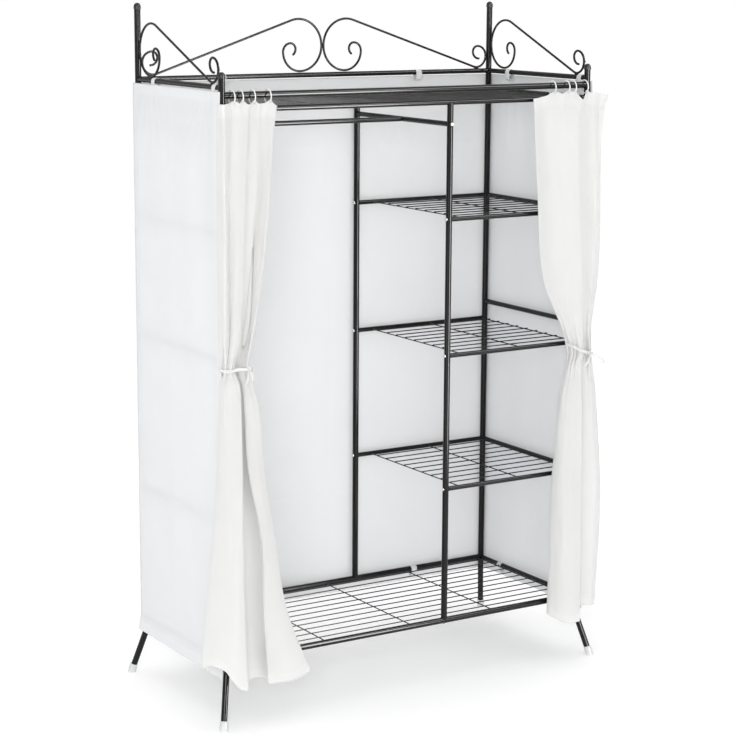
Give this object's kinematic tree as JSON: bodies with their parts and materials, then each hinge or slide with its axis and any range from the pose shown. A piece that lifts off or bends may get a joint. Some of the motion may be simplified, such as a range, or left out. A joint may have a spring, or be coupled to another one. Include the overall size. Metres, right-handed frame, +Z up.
{
  "type": "portable fabric wardrobe",
  "caption": "Tall black tube wardrobe frame with wire shelves, a clothes rod and a scrolled crown, white cloth on three sides and two tied front curtains.",
  "frame": {"origin": "on the floor, midway between the four corner posts", "axes": "+X to the right of someone who stands before the open front, +Y towards the back, +Z up"},
  "size_m": [1.1841, 0.547, 1.735],
  "materials": {
    "black_tube": "glossy black powder coat",
    "cap_plastic": "glossy black",
    "foot_plastic": "translucent pale grey",
    "cloth": "matt white non-woven cloth",
    "ribbon": "white woven ribbon",
    "ring_plastic": "smooth white",
    "bolt_steel": "bright zinc plate"
  },
  "bodies": {
    "frame": {"post_front_left": "black_tube", "post_front_right": "black_tube", "post_back_left": "black_tube", "post_back_right": "black_tube", "post_cap_front_left": "cap_plastic", "post_cap_front_right": "cap_plastic", "post_cap_back_left": "cap_plastic", "post_cap_back_right": "cap_plastic", "foot_cap_front_left": "foot_plastic", "foot_cap_front_right": "foot_plastic", "foot_cap_back_left": "foot_plastic", "foot_cap_back_right": "foot_plastic", "middle_post_front": "black_tube", "middle_post_back": "black_tube", "rung_left_bottom": "black_tube", "rung_left_lower": "black_tube", "rung_left_middle": "black_tube", "rung_left_upper": "black_tube", "rung_right_bottom": "black_tube", "rung_right_lower": "black_tube", "rung_right_middle": "black_tube", "rung_right_upper": "black_tube", "crown_rail_left": "black_tube", "crown_rail_right": "black_tube", "crown_rail_back": "black_tube", "rod_rung_left": "black_tube", "cross_bar": "black_tube", "clothes_rod": "black_tube", "curtain_rail": "black_tube", "bottom_shelf": "black_tube", "lower_shelf": "black_tube", "middle_shelf": "black_tube", "upper_shelf": "black_tube", "top_shelf": "black_tube", "scroll_back_left": "black_tube", "scroll_back_right": "black_tube", "scroll_side_left": "black_tube", "scroll_side_right": "black_tube", "side_panel_left": "cloth", "side_panel_right": "cloth", "back_panel": "cloth", "curtain_left": "cloth", "curtain_right": "cloth", "tie_left": "ribbon", "tie_right": "ribbon", "cross_bar_bolt": "bolt_steel", "shelf_bolt_front_lower": "bolt_steel", "shelf_bolt_front_middle": "bolt_steel", "shelf_bolt_front_upper": "bolt_steel", "shelf_bolt_back_lower": "bolt_steel", "shelf_bolt_back_middle": "bolt_steel", "shelf_bolt_back_upper": "bolt_steel"},
    "left_ring_1": {"ring_left_1": "ring_plastic"},
    "left_ring_2": {"ring_left_2": "ring_plastic"},
    "left_ring_3": {"ring_left_3": "ring_plastic"},
    "left_ring_4": {"ring_left_4": "ring_plastic"},
    "right_ring_1": {"ring_right_1": "ring_plastic"},
    "right_ring_2": {"ring_right_2": "ring_plastic"},
    "right_ring_3": {"ring_right_3": "ring_plastic"},
    "right_ring_4": {"ring_right_4": "ring_plastic"}
  },
  "joints": [
    {"name": "left_curtain_draw", "type": "slide", "parent": "frame", "child": "left_ring_4", "axis": [1, 0, 0], "range_m": [0, 0.39], "deforming": ["curtain_left"]},
    {"name": "left_ring_1_slide", "type": "slide", "parent": "frame", "child": "left_ring_1", "axis": [1, 0, 0], "range_m": [0, 0.1264]},
    {"name": "left_ring_2_slide", "type": "slide", "parent": "frame", "child": "left_ring_2", "axis": [1, 0, 0], "range_m": [0, 0.2078]},
    {"name": "left_ring_3_slide", "type": "slide", "parent": "frame", "child": "left_ring_3", "axis": [1, 0, 0], "range_m": [0, 0.3193]},
    {"name": "right_curtain_draw", "type": "slide", "parent": "frame", "child": "right_ring_4", "axis": [-1, 0, 0], "range_m": [0, 0.33], "deforming": ["curtain_right"]},
    {"name": "right_ring_1_slide", "type": "slide", "parent": "frame", "child": "right_ring_1", "axis": [-1, 0, 0], "range_m": [0, 0.0911]},
    {"name": "right_ring_2_slide", "type": "slide", "parent": "frame", "child": "right_ring_2", "axis": [-1, 0, 0], "range_m": [0, 0.2083]},
    {"name": "right_ring_3_slide", "type": "slide", "parent": "frame", "child": "right_ring_3", "axis": [-1, 0, 0], "range_m": [0, 0.2672]}
  ],
  "couplings": [
    {"joint": "left_ring_1_slide", "follows": "left_curtain_draw", "ratio": 0.3241},
    {"joint": "left_ring_2_slide", "follows": "left_curtain_draw", "ratio": 0.5326},
    {"joint": "left_ring_3_slide", "follows": "left_curtain_draw", "ratio": 0.8186},
    {"joint": "right_ring_1_slide", "follows": "right_curtain_draw", "ratio": 0.2758},
    {"joint": "right_ring_2_slide", "follows": "right_curtain_draw", "ratio": 0.631},
    {"joint": "right_ring_3_slide", "follows": "right_curtain_draw", "ratio": 0.8094}
  ]
}
